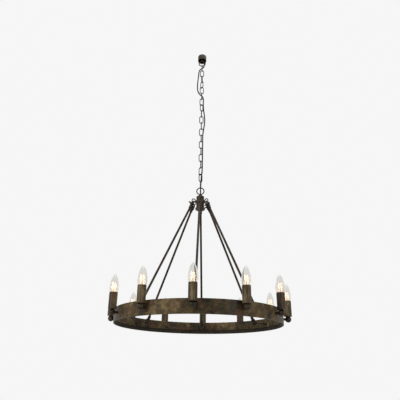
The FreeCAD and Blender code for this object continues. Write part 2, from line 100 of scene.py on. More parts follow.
# ---- sizes of the pieces ----
RIM_THICKNESS = 4.5 * MM
HOOP_THICKNESS = 3.0 * MM
HAMMERING = 0.12 * MM          # depth of the dents in the rolled bar
SLEEVE_RADIUS = 15.75 * MM
SLEEVE_WALL = 1.0 * MM
BALL_RADIUS = 12.5 * MM
SPACER_RADIUS = 5.0 * MM
BOLT_RADIUS = 3.0 * MM
BOLT_HEAD = 5.5 * MM
BOLT_HEAD_HEIGHT = 4.0 * MM
NUT_HEIGHT = 5.0 * MM
THREAD_PITCH = 1.0 * MM
STUB = 7.5 * MM
EYE_RADIUS = 8.25 * MM
EYE_WIRE = 2.25 * MM
HUB_EYE = (33.0 * MM, -839.0 * MM)        # distance from the axis, height
HUB_SHANK_START = 13.0 * MM               # distances from the axis
HUB_SHOULDER = 20.5 * MM
WHEEL_SHANK_END = 356.5 * MM
SHOULDER_RADIUS = 4.2 * MM
WHEEL_EYE = (269.6 * MM, BALL_Z)
JOINING_RING = 10.0 * MM                  # radius of the rings that join the rods to the hub eyes
UPPER_BOLT_SIDES = (-1, -1, -1, 1, 1, 1)  # 1 with the nut outwards
ROD_RADIUS = 4.75 * MM
CLEVIS_LENGTH = 26.0 * MM
CLEVIS_SOCKET = 6.5 * MM
ROD_IN_SOCKET = 9.0 * MM
EAR_RADIUS = 7.5 * MM
EAR_HALF_GAP = 2.5 * MM
EAR_THICKNESS = 3.0 * MM
EAR_OUTER = EAR_HALF_GAP + EAR_THICKNESS
BRIDGE_TOP = 8.0 * MM                     # below the clevis bolt
BRIDGE_BOTTOM = 13.0 * MM
LOOP_RADIUS = 16.5 * MM
LOOP_WIRE = 2.5 * MM
LINK_WIRE = 2.0 * MM
LINK_BEND = 8.5 * MM
LINK_STRAIGHT = 11.45 * MM                # half of a link's straight side
LINK_PITCH = 35.6 * MM
FIRST_LINK_Z = -77.65 * MM
LINK_PLANES = (90, 0, 80, 135, 10, 90, -8, 45, 98, 0, 90, 0, 90, 0, 90, 0, 90, -25, 40, 98)
SHANK_RADIUS = 4.0 * MM
EDGE = 0.8 * MM

# ---- supply cord: the route's points, as in the part ----
CORD_DIAMETER = 6.0 * MM
CORD_ROUTE = [
    (9.5, 10.5, -6.0), (9.5, 10.5, -28.0), (12.0, 10.0, -51.0), (7.0, 5.5, -68.5),
    (0.0, 0.0, -78.5), (-9.5, -3.0, -88.0), (-16.0, -4.5, -102.0), (-18.0, 0.0, -130.0),
    (-22.0, 0.5, -170.0), (-23.0, 0.0, -210.0), (-18.0, -0.5, -232.0), (-9.0, 0.5, -245.5),
    (0.5, -0.5, -255.5), (7.0, -5.0, -266.5), (9.5, -10.5, -283.0), (8.5, -9.5, -309.0),
    (10.5, -7.5, -344.0), (14.5, -4.0, -372.0), (17.0, 0.5, -398.0), (14.5, 5.0, -428.0),
    (10.5, 8.5, -452.0), (7.5, 8.5, -475.0), (7.0, 7.5, -502.0), (7.0, 8.0, -545.0),
    (7.0, 7.5, -592.0), (6.5, 9.5, -636.0), (7.0, 10.5, -662.0), (4.5, 12.5, -690.0),
    (2.0, 14.5, -717.0), (0.5, 16.5, -745.5), (0.0, 15.0, -774.0),
]
TAIL_ROUTE = [(0.0, 15.0, -774.0), (-0.2, 14.4, -785.4), (0.0, 12.6, -798.0), (0.0, 12.6, -810.0)]

# ---- the camera, solved from the photograph ----
CAMERA_PLACE = Vector((100.6, -1759.9, -1579.25)) * MM
CAMERA_AZIMUTH = math.radians(-3.31)      # of its view, from +Y towards +X
CAMERA_ELEVATION = math.radians(23.04)
CAMERA_ROLL = math.radians(0.82)
CAMERA_LENS = 37.82                       # on a 36 mm sensor

# ---- colours, as they look in even light ----
BACKGROUND = (246, 246, 246)
RIM_COLOURS = [(22, 16, 6), (56, 44, 24), (86, 70, 43), (132, 113, 79)]
HOOP_COLOURS = [(20, 14, 6), (46, 36, 20), (76, 62, 38), (126, 108, 76)]
SLEEVE_COLOURS = [(20, 14, 6), (46, 36, 20), (74, 60, 37), (128, 110, 78)]
DARK_COLOURS = [(10, 7, 4), (24, 18, 10), (44, 35, 21), (90, 76, 52)]
ROD_COLOURS = [(12, 9, 5), (24, 18, 11), (36, 29, 18), (62, 52, 36)]
CHAIN_COLOURS = [(6, 5, 4), (14, 12, 9), (26, 22, 16), (60, 53, 42)]


def linear(rgb):
    """Scene colour of an sRGB colour from 0 to 255."""
    def one(v):
        v = v / 255
        return v / 12.92 if v <= 0.04045 else ((v + 0.055) / 1.055) ** 2.4
    return tuple(one(v) for v in rgb) + (1.0,)


# ---- directions ----
def outward(angle):
    return Vector((math.sin(angle), -math.cos(angle), 0))


def across(angle):
    return Vector((math.cos(angle), math.sin(angle), 0))


def at(angle, radius, z):
    return outward(angle) * radius + Vector((0, 0, z))


def placing(x_axis, z_axis, origin):
    """Matrix that puts a shape's own X and Z along these directions, at this point."""
    y_axis = z_axis.cross(x_axis)
    return Matrix.Translation(origin) @ Matrix((x_axis, y_axis, z_axis)).transposed().to_4x4()


def along(direction, origin):
    """Matrix that puts a shape's own Z along direction."""
    direction = direction.normalized()
    side = Vector((0, 0, 1)) if abs(direction.z) < 0.9 else Vector((1, 0, 0))
    return placing(side.cross(direction).normalized(), direction, origin)


# ---- outlines ----
def rounded(outline, radius, steps=3):
    """Closed outline of (r, h) corners with each corner off the axis rounded."""
    result = []
    for index, corner in enumerate(outline):
        here = Vector(corner)
        before = Vector(outline[index - 1]) - here
        after = Vector(outline[(index + 1) % len(outline)]) - here
        if here.x < 1e-7:
            result.append(tuple(here))
            continue
        reach = min(radius, before.length * 0.45, after.length * 0.45)
        start, end = here + before.normalized() * reach, here + after.normalized() * reach
        for step in range(steps + 1):
            t = step / steps
            result.append(tuple(start * (1 - t) ** 2 + here * 2 * t * (1 - t) + end * t ** 2))
    return result


def smooth_curve(points, steps=8):
    """Catmull-Rom curve through (r, h) points."""
    points = [Vector(p) for p in points]
    ends = [points[0] * 2 - points[1]] + points + [points[-1] * 2 - points[-2]]
    result = []
    for a, b, c, d in zip(ends, ends[1:], ends[2:], ends[3:]):
        for step in range(steps):
            t = step / steps
            result.append(0.5 * (2 * b + (c - a) * t + (2 * a - 5 * b + 4 * c - d) * t ** 2
                                 + (3 * b - a - 3 * c + d) * t ** 3))
    return [tuple(p) for p in result + [points[-1]]]


def screw_outline(radius, start, end, pitch):
    """Half outline of a threaded rod's crests, from start to end."""
    depth = pitch * 0.5
    count = max(1, round((end - start) / pitch))
    step = (end - start) / count
    points = [(0, start), (radius - depth, start)]
    for turn in range(count):
        points += [(radius, start + step * (turn + 0.35)), (radius, start + step * (turn + 0.6)),
                   (radius - depth, start + step * (turn + 0.95))]
    return points + [(radius - depth, end), (0, end)]


# ---- shapes ----
class Shape:
    """Closed surfaces gathered into one mesh."""

    def __init__(self):
        self.bm = bmesh.new()
        self.uv = self.bm.loops.layers.uv.new("UVMap")

    def grid(self, rings, closed_round=True, closed_along=False, uv=None):
        """Faces between rows of points, each row a ring."""
        rows = [[self.bm.verts.new(p) for p in ring] for ring in rings]
        count = len(rows)
        for i in range(count if closed_along else count - 1):
            low, high = rows[i], rows[(i + 1) % count]
            for j in range(len(low) if closed_round else len(low) - 1):
                k = (j + 1) % len(low)
                face = self.bm.faces.new((low[j], low[k], high[k], high[j]))
                if uv:
                    width, lengths = uv
                    corners = ((j, lengths[i]), (j + 1, lengths[i]),
                               (j + 1, lengths[i + 1]), (j, lengths[i + 1]))
                    for loop, (u, v) in zip(face.loops, corners):
                        loop[self.uv].uv = (u * width / len(low), v)
        return rows

    def lathe(self, outline, place=Matrix(), sides=32, closed=False):
        """Surface turned about the shape's own Z. An open outline starts and ends on the axis."""
        rings, poles = [], []
        for r, h in outline:
            if r < 1e-7:
                poles.append(place @ Vector((0, 0, h)))
                continue
            rings.append([place @ Vector((r * math.cos(TURN * i / sides), r * math.sin(TURN * i / sides), h))
                          for i in range(sides)])
        rows = self.grid(rings, closed_along=closed)
        if not closed:
            for pole, row in zip(poles, (rows[0], rows[-1])):
                tip = self.bm.verts.new(pole)
                for i in range(sides):
                    self.bm.faces.new((row[i], row[(i + 1) % sides], tip))

    def tube(self, points, radius, sides=12, closed=False, place=Matrix()):
        """Round tube along points, its section carried along without twist."""
        points = [place @ Vector(p) for p in points]
        count = len(points)
        radii = radius if isinstance(radius, (list, tuple)) else [radius] * count
        if closed:
            ways = [(points[(i + 1) % count] - points[i - 1]).normalized() for i in range(count)]
        else:
            ways = [(points[min(i + 1, count - 1)] - points[max(i - 1, 0)]).normalized()
                    for i in range(count)]
        side = ways[0].orthogonal().normalized()
        rings, lengths, length = [], [0.0], 0.0
        for i, way in enumerate(ways):
            side = (side - way * side.dot(way)).normalized()
            up = way.cross(side)
            rings.append([points[i]
                          + (side * math.cos(TURN * j / sides) + up * math.sin(TURN * j / sides)) * radii[i]
                          for j in range(sides)])
            length += (points[(i + 1) % count] - points[i]).length
            lengths.append(length)
        rows = self.grid(rings, closed_along=closed, uv=(TURN * radii[0], lengths))
        if not closed:
            self.bm.faces.new(rows[0][::-1])
            self.bm.faces.new(rows[-1])

    def ring(self, radius, wire, place, sides=14, steps=48):
        """Wire ring in the shape's own XY plane."""
        points = [(radius * math.cos(TURN * i / steps), radius * math.sin(TURN * i / steps), 0)
                  for i in range(steps)]
        self.tube(points, wire, sides, closed=True, place=place)

    def plate(self, outline, low, high, place, bevel):
        """Flat plate with this convex outline between two heights, its edges bevelled."""
        centre = sum((Vector(p) for p in outline), Vector((0, 0))) / len(outline)
        reach = max((Vector(p) - centre).length for p in outline)
        inner = [centre + (Vector(p) - centre) * (1 - bevel / reach) for p in outline]
        levels = ((inner, low), (outline, low + bevel), (outline, high - bevel), (inner, high))
        rows = self.grid([[place @ Vector((p[0], p[1], h)) for p in line] for line, h in levels])
        self.bm.faces.new(rows[0][::-1])
        self.bm.faces.new(rows[-1])

    def move_each(self, change):
        for vertex in self.bm.verts:
            vertex.co = change(vertex.co)

    def piece(self, name, body, nodes, material, sharp_degrees=38):
        """The finished object: it rides on a body and stands for these CAD nodes."""
        bmesh.ops.recalc_face_normals(self.bm, faces=self.bm.faces)
        limit = math.radians(sharp_degrees)
        for face in self.bm.faces:
            face.smooth = True
        for edge in self.bm.edges:
            if len(edge.link_faces) == 2:
                edge.smooth = edge.calc_face_angle(0) < limit
        mesh = bpy.data.meshes.new(name)
        self.bm.to_mesh(mesh)
        self.bm.free()
        mesh.materials.append(material)
        obj = bpy.data.objects.new(name, mesh)
        bpy.context.scene.collection.objects.link(obj)
        if body:
            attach(obj, body)
        if nodes:
            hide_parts(*nodes)
        return obj


# ---- materials ----
class Nodes:
    """A material's node tree, with short ways to add to it."""

    def __init__(self, name):
        self.material = bpy.data.materials.new(name)
        self.material.use_nodes = True
        self.tree = self.material.node_tree
        self.shader = self.tree.nodes["Principled BSDF"]
        self.place = self.tree.nodes.new("ShaderNodeTexCoord").outputs["Object"]

    def link(self, source, target):
        self.tree.links.new(source, target)

    def stretched(self, scale):
        node = self.tree.nodes.new("ShaderNodeMapping")
        node.inputs["Scale"].default_value = scale
        self.link(self.place, node.inputs["Vector"])
        return node.outputs["Vector"]

    def radius(self):
        """Distance from the chandelier's axis."""
        node = self.tree.nodes.new("ShaderNodeVectorMath")
        node.operation = "LENGTH"
        self.link(self.stretched((1.0, 1.0, 0.0)), node.inputs[0])
        return node.outputs["Value"]

    def noise(self, scale, detail=4.0, roughness=0.55, distortion=0.0, vector=None):
        node = self.tree.nodes.new("ShaderNodeTexNoise")
        node.inputs["Scale"].default_value = scale
        node.inputs["Detail"].default_value = detail
        node.inputs["Roughness"].default_value = roughness
        node.inputs["Distortion"].default_value = distortion
        self.link(vector or self.place, node.inputs["Vector"])
        return node.outputs["Fac"]

    def ramp(self, value, stops):
        node = self.tree.nodes.new("ShaderNodeValToRGB")
        elements = node.color_ramp.elements
        while len(elements) < len(stops):
            elements.new(0.5)
        for element, (position, colour) in zip(elements, stops):
            element.position = position
            element.color = colour
        self.link(value, node.inputs["Fac"])
        return node.outputs["Color"]

    def spread(self, value, low, high, to_low, to_high):
        node = self.tree.nodes.new("ShaderNodeMapRange")
        for name, number in zip(("From Min", "From Max", "To Min", "To Max"), (low, high, to_low, to_high)):
            node.inputs[name].default_value = number
        self.link(value, node.inputs["Value"])
        return node.outputs["Result"]

    def mixed(self, share, first, second):
        node = self.tree.nodes.new("ShaderNodeMix")
        node.data_type = "RGBA"
        for socket, value in ((node.inputs[0], share), (node.inputs[6], first), (node.inputs[7], second)):
            if isinstance(value, (int, float, tuple)):
                socket.default_value = value
            else:
                self.link(value, socket)
        return node.outputs[2]

    def maths(self, operation, first, second):
        node = self.tree.nodes.new("ShaderNodeMath")
        node.operation = operation
        for socket, value in zip(node.inputs, (first, second)):
            if isinstance(value, (int, float)):
                socket.default_value = value
            else:
                self.link(value, socket)
        return node.outputs[0]

    def bump(self, height, strength, distance):
        node = self.tree.nodes.new("ShaderNodeBump")
        node.inputs["Strength"].default_value = strength
        node.inputs["Distance"].default_value = distance
        self.link(height, node.inputs["Height"])
        self.link(node.outputs["Normal"], self.shader.inputs["Normal"])


def aged_metal(name, colours, patch_scale, streaks=1.0, roughness=(0.42, 0.66), rust=0.4, shade_nearer_than=None):
    """Bronze paint rubbed back by hand: cloudy patches from dark to light, rusty and olive tints,
    fine speckle, and a surface that is smoother where it is darker.
    Streaks below 1 draw the clouds out in height.
    Nearer to the axis than the given radius the colour is darkened to near black: painted shade of the band's
    inner face, within the channel below the hoop."""
    n = Nodes(name)
    stretched = n.stretched((1.0, 1.0, streaks))
    patch = n.noise(patch_scale * 0.3, 3.0, 0.5, 0.6, stretched)
    cloud = n.noise(patch_scale, 6.0, 0.65, 0.5, stretched)
    speck = n.noise(patch_scale * 8, 3.0, 0.6, 0.0, stretched)
    tint = n.noise(patch_scale * 0.6, 4.0, 0.55, 0.8, n.stretched((1.0, 1.3, streaks * 1.4)))
    both = n.maths("ADD", n.maths("MULTIPLY", patch, 0.34),
                   n.maths("ADD", n.maths("MULTIPLY", cloud, 0.46), n.maths("MULTIPLY", speck, 0.2)))
    dark, low, high, light = (linear(c) for c in colours)
    paint = n.ramp(both, [(0.41, dark), (0.47, low), (0.53, high), (0.6, light)])
    rusty = n.mixed(n.spread(tint, 0.52, 0.64, 0.0, rust), paint, linear((92, 60, 42)))
    olive = n.mixed(n.spread(tint, 0.47, 0.37, 0.0, rust), rusty, linear((70, 64, 32)))
    # Painted shade: the band's inner face goes dark, standing for the shade within the channel below the
    # hoop.
    if shade_nearer_than:
        shade_share = n.spread(n.radius(), shade_nearer_than, shade_nearer_than + 1.2 * MM, 0.86, 0.0)
        olive = n.mixed(shade_share, olive, linear((14, 10, 5)))
    n.link(olive, n.shader.inputs["Base Color"])
    n.link(n.spread(both, 0.4, 0.6, roughness[0], roughness[1]), n.shader.inputs["Roughness"])
    n.shader.inputs["Metallic"].default_value = 0.0
    n.shader.inputs["Specular IOR Level"].default_value = 0.2
    n.bump(n.noise(patch_scale * 14, 4.0, 0.6, 0.0, stretched), 0.35, 0.25 * MM)
    return n.material


def cord_cloth():
    """Black woven sleeve: two sets of threads round the cord, crossing."""
    n = Nodes("cord_cloth")
    uv = n.tree.nodes.new("ShaderNodeUVMap").outputs["UV"]
    heights = []
    for lean in (1.0, -1.0):
        turned = n.tree.nodes.new("ShaderNodeMapping")
        turned.inputs["Scale"].default_value = (1 / (1.2 * MM), lean / (1.9 * MM), 1.0)
        n.link(uv, turned.inputs["Vector"])
        wave = n.tree.nodes.new("ShaderNodeTexWave")
        wave.wave_type = "BANDS"
        wave.bands_direction = "DIAGONAL"
        wave.inputs["Scale"].default_value = 0.32
        n.link(turned.outputs["Vector"], wave.inputs["Vector"])
        heights.append(wave.outputs["Fac"])
    weave = n.maths("MAXIMUM", heights[0], heights[1])
    n.link(n.ramp(weave, [(0.3, linear((5, 5, 5))), (0.95, linear((22, 21, 20)))]),
           n.shader.inputs["Base Color"])
    n.shader.inputs["Roughness"].default_value = 0.82
    n.shader.inputs["Sheen Weight"].default_value = 0.04
    n.bump(weave, 0.6, 0.4 * MM)
    return n.material


def plain_plastic(name, colour, roughness):
    n = Nodes(name)
    grain = n.noise(900.0, 3.0)
    n.link(n.mixed(n.spread(grain, 0.3, 0.7, 0.0, 0.25), linear(colour), linear((60, 58, 55))),
           n.shader.inputs["Base Color"])
    n.link(n.spread(grain, 0.3, 0.7, roughness, roughness + 0.12), n.shader.inputs["Roughness"])
    n.bump(grain, 0.15, 0.1 * MM)
    return n.material


def bare_metal(name, colour, roughness):
    n = Nodes(name)
    grain = n.noise(500.0, 4.0)
    n.link(n.mixed(n.spread(grain, 0.35, 0.7, 0.0, 0.6), linear(colour), linear([c * 0.6 for c in colour])),
           n.shader.inputs["Base Color"])
    n.link(n.spread(grain, 0.3, 0.7, roughness, roughness + 0.15), n.shader.inputs["Roughness"])
    n.shader.inputs["Metallic"].default_value = 1.0
    n.bump(grain, 0.1, 0.05 * MM)
    return n.material


def clear_glass(name, low_z, high_z):
    """Clear glass with a little metal vapour on it; its tint is painted warmer towards the lit end, a painted
    glow of the filaments.
    """
    n = Nodes(name)
    height = n.tree.nodes.new("ShaderNodeSeparateXYZ")
    n.link(n.place, height.inputs["Vector"])
    # Painted glow: the glass colour runs warmer towards its lower end, where the filaments shine.
    cloud = n.maths("ADD", n.spread(height.outputs["Z"], low_z, high_z, 0.0, 0.8),
                    n.maths("MULTIPLY", n.noise(40.0, 2.0), 0.2))
    n.link(n.ramp(cloud, [(0.2, linear((247, 241, 232))), (0.75, linear((238, 237, 235)))]),
           n.shader.inputs["Base Color"])
    n.shader.inputs["Transmission Weight"].default_value = 1.0
    n.shader.inputs["Roughness"].default_value = 0.0
    n.shader.inputs["IOR"].default_value = 1.46
    return n.material


def glowing(name, colour, strength):
    n = Nodes(name)
    n.link(n.ramp(n.noise(600.0, 2.0), [(0.35, linear(colour)), (0.75, (1.0, 0.9, 0.72, 1.0))]),
           n.shader.inputs["Base Color"])
    n.shader.inputs["Emission Color"].default_value = linear(colour)
    n.shader.inputs["Emission Strength"].default_value = strength
    n.shader.inputs["Roughness"].default_value = 0.6
    return n.material


# The rim's paint also carries painted shade on its inner face, from the darkening in aged_metal.
RIM_PAINT_AND_INNER_SHADE = aged_metal("rim_paint_and_inner_shade", RIM_COLOURS, 34.0, shade_nearer_than=rim_high.x - RIM_THICKNESS)
HOOP_PAINT = aged_metal("hoop_paint", HOOP_COLOURS, 30.0, rust=0.5)
# Sleeve paint drawn out into upright light and dark streaks: partly the paint's own mottling, partly painted
# highlights that stand for the upright reflections of the soft boxes.
SLEEVE_PAINT_AND_STREAK_SHEEN = aged_metal("sleeve_paint_and_streak_sheen", SLEEVE_COLOURS, 110.0, 0.16, (0.3, 0.5))
DARK_PAINT = aged_metal("dark_paint", DARK_COLOURS, 120.0, 1.0, (0.25, 0.5))
ROD_PAINT = aged_metal("rod_paint", ROD_COLOURS, 60.0, 0.12, (0.3, 0.5))
CHAIN_PAINT = aged_metal("chain_paint", CHAIN_COLOURS, 160.0, 1.0, (0.25, 0.45))
CORD_CLOTH = cord_cloth()
HOLDER_PLASTIC = plain_plastic("holder_plastic", (28, 27, 26), 0.45)
GLAND_PLASTIC = plain_plastic("gland_plastic", (14, 14, 14), 0.5)
ZINC = bare_metal("zinc", (176, 174, 168), 0.3)
NICKEL_CAP = bare_metal("cap_nickel", (190, 184, 170), 0.25)
GLASS = clear_glass("bulb_glass", bulb_low.z + 25 * MM, bulb_high.z)
FILAMENT = glowing("filament_glow", (255, 234, 212), 0.82)
LEAD_WIRE = bare_metal("lead_wire", (150, 140, 120), 0.3)


# ---- the cord ----
def spline_points(route, name):
    """Points of the smooth spline that the route controls, read from a curve with no bevel."""
    curve = bpy.data.curves.new(name, "CURVE")
    curve.dimensions = "3D"
    curve.resolution_u = 12
    spline = curve.splines.new("NURBS")
    spline.points.add(len(route) - 1)
    for point, place in zip(spline.points, route):
        point.co = (*(Vector(place) * MM), 1.0)
    spline.order_u = 3
    spline.use_endpoint_u = True
    obj = bpy.data.objects.new(name, curve)
    bpy.context.scene.collection.objects.link(obj)
    line = bpy.data.meshes.new_from_object(obj)
    points = [vertex.co.copy() for vertex in line.vertices]
    bpy.data.objects.remove(obj)
    bpy.data.meshes.remove(line)
    return points


def cord_piece(name, route, node):
    points = spline_points(route, name + "_line")
    shape = Shape()
    shape.tube(points, CORD_DIAMETER / 2, sides=20)
    piece = shape.piece(name, None, [node], CORD_CLOTH)
    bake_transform(piece)


cord_piece("supply_cord_cloth", CORD_ROUTE, "supply_cord")
cord_piece("supply_cord_end", TAIL_ROUTE, "supply_cord_tail")


# ---- ceiling end ----
def gland(name, low, high, mouth_up, body, node):
    """Moulded cord gland with a ribbed grip."""
    centre = middle(low, high)
    radius = (high.x - low.x) / 2
    face = high.z - 2 * MM if not mouth_up else low.z + 6 * MM
    way = 1 if mouth_up else -1
    outline = [(0, face), (radius, face), (radius, face + way * 1.6 * MM),
               (radius * 0.9, face + way * 2.1 * MM),
               (radius * 0.96, face + way * 2.6 * MM), (radius * 0.86, face + way * 3.2 * MM),
               (CORD_DIAMETER / 2 + 0.9 * MM, face + way * 4 * MM), (0, face + way * 4 * MM)]
    shape = Shape()
    shape.lathe(rounded(outline, 0.3 * MM), Matrix.Translation((centre.x, centre.y, 0)))
    stub_end = high.z if not mouth_up else low.z
    shape.lathe([(0, face), (3.4 * MM, face), (3.4 * MM, stub_end), (0, stub_end)],
                Matrix.Translation((centre.x, centre.y, 0)))
    shape.piece(name, body, [node], GLAND_PLASTIC)


def loop_ring(shape, centre_z):
    shape.ring(LOOP_RADIUS, LOOP_WIRE, along(Vector((0, 1, 0)), Vector((0, 0, centre_z))), 18, 72)


def ceiling_end():
    stem = Shape()
    stem.lathe(screw_outline(SHANK_RADIUS, stem_low.z, 0, THREAD_PITCH))
    stem.lathe(screw_outline(stem_high.x, 0, stem_high.z, THREAD_PITCH))
    stem.piece("stem_thread", "ceiling_fitting", ["ceiling_stem"], ZINC)

    collar = Shape()
    radius, bottom, wall, bevel = collar_high.x, collar_low.z, 2.0 * MM, 2.5 * MM
    recess, recess_depth = 6.0 * MM, 1.0 * MM
    collar.lathe(rounded([
        (SHANK_RADIUS, -recess_depth), (recess, -recess_depth), (recess, 0), (radius - bevel, 0),
        (radius, -bevel), (radius, bottom), (radius - wall, bottom), (radius - wall, -bevel),
        (radius - bevel, -wall), (SHANK_RADIUS, -wall)],
        0.35 * MM), sides=64, closed=True)
    collar.piece("collar_shell", "ceiling_fitting", ["ceiling_collar"], DARK_PAINT)

    loop = Shape()
    ring_z = ceiling_loop_low.z + LOOP_WIRE + LOOP_RADIUS
    neck_top, neck_low, neck = -wall, ring_z + LOOP_RADIUS, 6.5 * MM
    loop.lathe(rounded([
        (0, neck_top), (neck, neck_top), (neck, neck_top - 8 * MM), (neck - 0.7 * MM, neck_top - 9 * MM),
        (neck, neck_top - 10 * MM), (neck, neck_low + 3 * MM), (neck * 0.6, neck_low), (0, neck_low)],
        0.5 * MM))
    loop_ring(loop, ring_z)
    loop.piece("ceiling_ring", "ceiling_fitting", ["ceiling_loop"], CHAIN_PAINT)
    gland("ceiling_cord_gland", ceiling_gland_low, ceiling_gland_high, False,
          "ceiling_fitting", "ceiling_gland")


# ---- chain ----
def chain():
    """Links bent from round wire, each with the butt of its two wire ends on one side."""
    bend_steps, side_steps = 12, 10
    shape = Shape()
    for index, plane in enumerate(LINK_PLANES):
        points, radii = [], []
        for half in (1, -1):
            for step in range(bend_steps + 1):
                turn = math.pi * step / bend_steps
                points.append((half * LINK_BEND * math.cos(turn), 0,
                               half * (LINK_STRAIGHT + LINK_BEND * math.sin(turn))))
                radii.append(LINK_WIRE)
            for step in range(1, side_steps):
                share = step / side_steps
                points.append((-half * LINK_BEND, 0, half * LINK_STRAIGHT * (1 - 2 * share)))
                radii.append(LINK_WIRE * (0.82 if half == 1 and step == side_steps // 2 else 1.0))
        place = (Matrix.Translation((0, 0, FIRST_LINK_Z - index * LINK_PITCH))
                 @ Matrix.Rotation(math.radians(plane), 4, "Z"))
        shape.tube(points, radii, 12, closed=True, place=place)
    shape.piece("chain_wire_links", "chain", ["chain_links"], CHAIN_PAINT)


# ---- hub ----
def hex_corners(radius):
    return [(radius * math.cos(TURN * i / 6), radius * math.sin(TURN * i / 6)) for i in range(6)]


def hub():
    loop = Shape()
    ring_z = hub_loop_high.z - LOOP_WIRE - LOOP_RADIUS
    loop_ring(loop, ring_z)
    neck_top = ring_z - LOOP_RADIUS - LOOP_WIRE
    shoulder = 6.5 * MM
    loop.lathe(rounded([(0, neck_top), (shoulder, neck_top), (shoulder, neck_top + 1.4 * MM),
                        (shoulder * 0.6, neck_top + 3.2 * MM), (0, neck_top + 3.2 * MM)], 0.4 * MM))
    loop.lathe([(0, hub_loop_low.z), (SHANK_RADIUS, hub_loop_low.z), (SHANK_RADIUS, neck_top), (0, neck_top)])
    loop.piece("hub_ring", "chandelier", ["hub_loop"], CHAIN_PAINT)

    cap = Shape()
    neck, radius, face = 8.0 * MM, cap_high.x, body_high.z + 6 * MM
    fillet = 1.2 * MM
    cap.lathe(rounded([
        (0, body_high.z), (radius, body_high.z), (radius, face - EDGE), (radius - EDGE, face),
        (neck + fillet, face), (neck, face + fillet), (neck, cap_high.z - EDGE), (neck - EDGE, cap_high.z),
        (0, cap_high.z)], 0.35 * MM), sides=64)
    cap.piece("hub_top", "chandelier", ["hub_cap"], DARK_PAINT)

    body = Shape()
    radius = body_high.x
    groove = 0.5 * MM
    half_width = 0.6 * MM
    outline = [(0, body_low.z), (radius, body_low.z)]
    for height in (body_low.z + 7.6 * MM, body_high.z - 4.6 * MM):
        outline += [(radius, height - half_width), (radius - groove, height), (radius, height + half_width)]
    outline += [(radius, body_high.z), (0, body_high.z)]
    body.lathe(rounded(outline, 0.25 * MM), sides=64)
    body.piece("hub_barrel", "chandelier", ["hub_body"], DARK_PAINT)

    base = Shape()
    radius, chamfer = flange_high.x, 1.6 * MM
    base.lathe(rounded([
        (0, flange_low.z), (radius - chamfer, flange_low.z), (radius, flange_low.z + chamfer),
        (radius, flange_high.z - EDGE), (radius - EDGE, flange_high.z), (0, flange_high.z)],
        0.4 * MM), sides=64)
    base.piece("hub_foot", "chandelier", ["hub_flange"], DARK_PAINT)

    dome = Shape()
    hexagon, nut_part, steps = dome_high.x, 4 * MM, 12
    rise, radius = dome_high.z - dome_low.z - nut_part, 0.86 * hexagon
    dome.plate(hex_corners(hexagon), dome_high.z - nut_part, dome_high.z, Matrix(), 0.4 * MM)
    arc = [(radius * math.cos(TURN / 4 * i / steps), -rise * math.sin(TURN / 4 * i / steps))
           for i in range(steps + 1)]
    dome.lathe([(0, dome_high.z - 3 * MM)] + [(r, dome_high.z - nut_part + h) for r, h in arc])
    dome.piece("hub_cap_nut", "chandelier", ["hub_dome_nut"], DARK_PAINT)
    gland("hub_cord_gland", hub_gland_low, hub_gland_high, True, "chandelier", "hub_gland")


# ---- eyes, clevises, rods ----
def rod_axis(angle):
    """Unit vector down along a rod."""
    return (at(angle, *WHEEL_EYE) - at(angle, *HUB_EYE)).normalized()


def out_of_rod(angle):
    """Outwards and up, square to a rod and in its plane with the axis."""
    return rod_axis(angle).cross(across(angle))


BOLT_FROM_EYE = EYE_RADIUS - EYE_WIRE - BOLT_RADIUS
RING_FROM_EYE = EYE_RADIUS - 2 * EYE_WIRE + JOINING_RING
UPPER_BOLT_FROM_EYE = RING_FROM_EYE + JOINING_RING - EYE_WIRE - BOLT_RADIUS


def eye(shape, angle, centre, shank_from, shank_to, shoulder):
    """Upright ring on a level shank, with a small shoulder where they meet."""
    place = at(angle, *centre)
    shape.ring(EYE_RADIUS, EYE_WIRE, along(across(angle), place))
    way = outward(angle) * math.copysign(1, shank_to - centre[0])
    start = at(angle, shoulder, centre[1])
    collar = [(0, -1.5 * MM), (SHOULDER_RADIUS, -1.5 * MM), (SHOULDER_RADIUS, 0.4 * MM), (0, 1.6 * MM)]
    shape.lathe(rounded(collar, 0.4 * MM), along(way * -1, start))
    low, high = sorted((shank_from, shank_to))
    shape.lathe([(0, low), (BOLT_RADIUS, low), (BOLT_RADIUS, high), (0, high)],
                along(outward(angle), Vector((0, 0, centre[1]))), 20)


def hex_nut(shape, place):
    """Hexagon nut with the round face that its turned corners leave."""
    face_radius, face = BOLT_HEAD * 0.82, NUT_HEIGHT + 0.01 * MM
    shape.plate(hex_corners(BOLT_HEAD), 0, NUT_HEIGHT, place, 0.45 * MM)
    outline = [(0, NUT_HEIGHT / 2), (face_radius, NUT_HEIGHT / 2), (face_radius, face), (0, face)]
    shape.lathe(rounded(outline, 0.1 * MM), place, 24)


